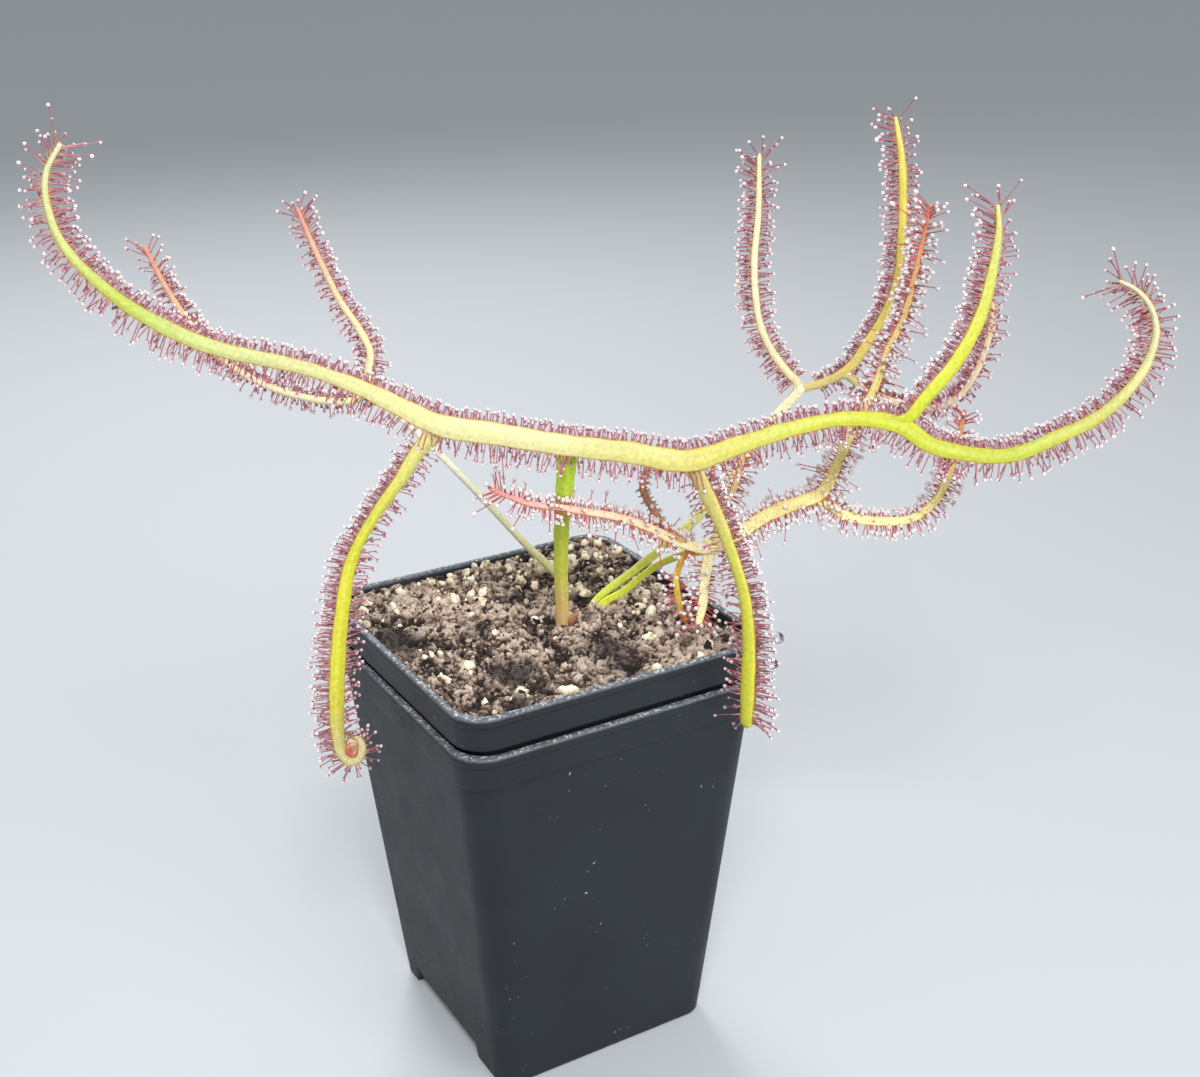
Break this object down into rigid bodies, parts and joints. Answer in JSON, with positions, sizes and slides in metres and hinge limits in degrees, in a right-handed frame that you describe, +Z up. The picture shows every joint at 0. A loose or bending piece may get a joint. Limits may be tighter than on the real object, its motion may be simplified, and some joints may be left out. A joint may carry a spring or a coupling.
{
  "type": "potted sundew plant",
  "caption": "Forked sundew with branching, gland-covered leaves on thin stalks, growing in peat in a square black nursery pot nested in a second pot.",
  "frame": {"origin": "centre of the outer pot's flat underside, on the surface the pot stands on", "axes": "+Z up; X and Y along the sides of the square pot, with the drainage arches in the -X and +X bottom edges and the pictured wide side facing -Y"},
  "size_m": [0.1834, 0.1243, 0.1986],
  "materials": {
    "pot_plastic": "satin black moulded plastic",
    "pot_plastic_inner": "satin black moulded plastic",
    "potting_soil": "rough damp peat with perlite",
    "leaf_front": "smooth living leaf",
    "leaf_back_left": "smooth living leaf",
    "leaf_back_right": "smooth living leaf",
    "leaf_low_right": "smooth living leaf"
  },
  "bodies": {
    "root": {"outer_pot": "pot_plastic", "inner_pot": "pot_plastic_inner", "soil": "potting_soil", "leaf_front": "leaf_front", "leaf_back_left": "leaf_back_left", "leaf_back_right": "leaf_back_right", "leaf_low_right": "leaf_low_right"}
  },
  "joints": []
}
